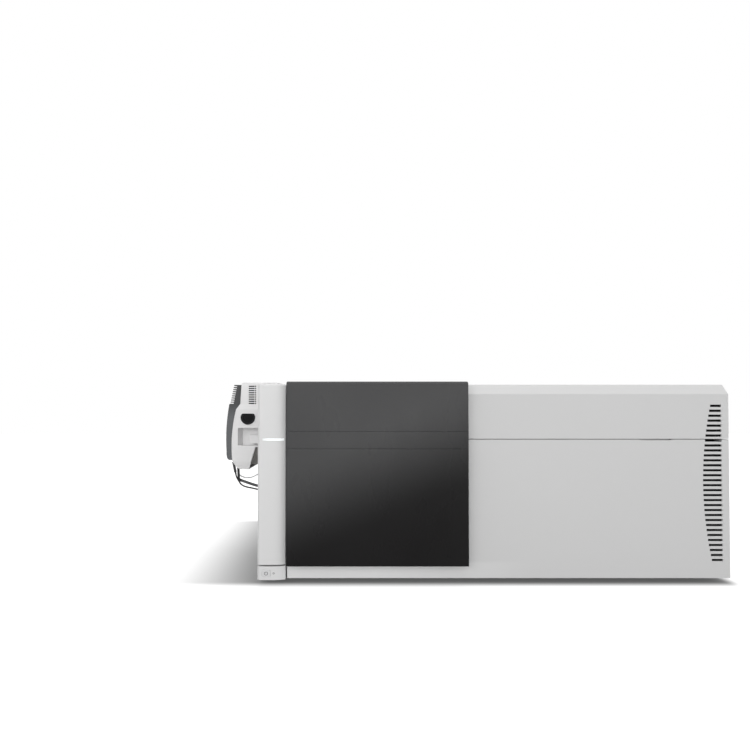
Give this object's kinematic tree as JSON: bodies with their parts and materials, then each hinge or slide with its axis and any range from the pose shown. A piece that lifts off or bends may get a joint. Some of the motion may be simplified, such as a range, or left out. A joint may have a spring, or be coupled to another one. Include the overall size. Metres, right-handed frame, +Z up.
{
  "type": "mass spectrometer",
  "caption": "Bench-top triple-quadrupole mass spectrometer: long white cabinet with a dark hinged front door, end vents and a swing-away electrospray source.",
  "frame": {"origin": "middle of the whole instrument's footprint box, level with the soles of its feet", "axes": "+X along the long front towards the vented end, +Y back from the front, +Z up"},
  "size_m": [1.232, 0.692, 0.486],
  "materials": {
    "cover_white": "fine-textured satin white",
    "shell_white": "satin white moulding",
    "door_charcoal": "smooth dark charcoal, soft gloss",
    "liner_grey": "light grey moulding",
    "status_lamp": "frosted white light bar",
    "button_white": "satin white moulding",
    "sheet_grey": "light grey powder coat",
    "hinge_steel": "satin",
    "source_dark": "dark grey satin coat",
    "chamber_cast": "cast, grey-brown coat",
    "window_glass": "smoked",
    "bottle_glass": "clear",
    "bottle_cap": "blue moulding",
    "inlet_steel": "machined",
    "nut_black": "black moulding",
    "valve_body": "anodised",
    "fan_black": "black moulding",
    "port_brass": "turned",
    "vacuum_aluminium": "milled",
    "board_green": "solder mask",
    "supply_metal": "plated sheet",
    "foot_rubber": "moulded",
    "cable_grey": "dark grey jacket",
    "cable_black": "black jacket",
    "tube_pale": "pale translucent tubing"
  },
  "bodies": {
    "mainframe": {"top_cover": "cover_white", "lower_front_panel": "cover_white", "right_side_panel": "cover_white", "corner_cover": "cover_white", "corner_plinth": "cover_white", "rear_panel": "cover_white", "service_bay": "liner_grey", "status_lamp": "status_lamp", "end_panel": "sheet_grey", "base_chassis": "sheet_grey", "manifold_stands": "sheet_grey", "electronics_cage": "sheet_grey", "bottle_shelf": "sheet_grey", "door_hinge_1": "hinge_steel", "door_hinge_2": "hinge_steel", "source_hinge_1": "hinge_steel", "source_hinge_2": "hinge_steel", "calibrant_bottle": "bottle_glass", "bottle_cap": "bottle_cap", "interface_plate": "inlet_steel", "spray_shield": "inlet_steel", "capillary_cap": "inlet_steel", "foreline_port": "inlet_steel", "wall_glands": "nut_black", "power_inlet": "nut_black", "data_socket": "nut_black", "power_switch": "nut_black", "divert_valve": "valve_body", "fan_frame_1": "fan_black", "fan_frame_2": "fan_black", "gas_inlet": "port_brass", "exhaust_port": "port_brass", "vacuum_manifold": "vacuum_aluminium", "manifold_lid": "vacuum_aluminium", "turbo_pump_1": "vacuum_aluminium", "turbo_pump_2": "vacuum_aluminium", "driver_boards": "board_green", "power_supply": "supply_metal", "feet": "foot_rubber", "heater_cable": "cable_grey", "hv_cable": "cable_black", "drain_tube": "tube_pale"},
    "door": {"front_door": "door_charcoal", "door_liner": "liner_grey"},
    "source": {"source_housing": "shell_white", "source_end_cover": "source_dark", "spray_chamber": "chamber_cast", "window_bezel": "source_dark", "window_glass": "window_glass", "nebulizer": "inlet_steel", "nebulizer_nut": "nut_black", "latch_pin": "hinge_steel", "heater_connector": "nut_black", "hv_connector": "nut_black", "drain_fitting": "nut_black"},
    "latch": {"latch_lever": "shell_white"},
    "button": {"power_button": "button_white"},
    "fan_1": {"fan_rotor_1": "fan_black"},
    "fan_2": {"fan_rotor_2": "fan_black"}
  },
  "joints": [
    {"name": "door_hinge", "type": "hinge", "parent": "mainframe", "child": "door", "pos_m": [-0.021, -0.329, 0.265], "axis": [0, 0, 1], "range_deg": [0, 85]},
    {"name": "source_hinge", "type": "hinge", "parent": "mainframe", "child": "source", "pos_m": [-0.482, 0.023, 0.4], "axis": [0, 0, -1], "range_deg": [0, 90]},
    {"name": "latch_pivot", "type": "hinge", "parent": "source", "child": "latch", "pos_m": [-0.499, -0.1598, 0.335], "axis": [0, 0, 1], "range_deg": [0, 60]},
    {"name": "button_press", "type": "slide", "parent": "mainframe", "child": "button", "axis": [0, 1, 0], "range_m": [0, 0.0025], "stiffness_N_per_m": 400},
    {"name": "fan_spin_1", "type": "hinge", "parent": "mainframe", "child": "fan_1", "pos_m": [0.506, 0.309, 0.167], "axis": [0, 1, 0], "continuous": true},
    {"name": "fan_spin_2", "type": "hinge", "parent": "mainframe", "child": "fan_2", "pos_m": [0.356, 0.309, 0.167], "axis": [0, 1, 0], "continuous": true}
  ]
}
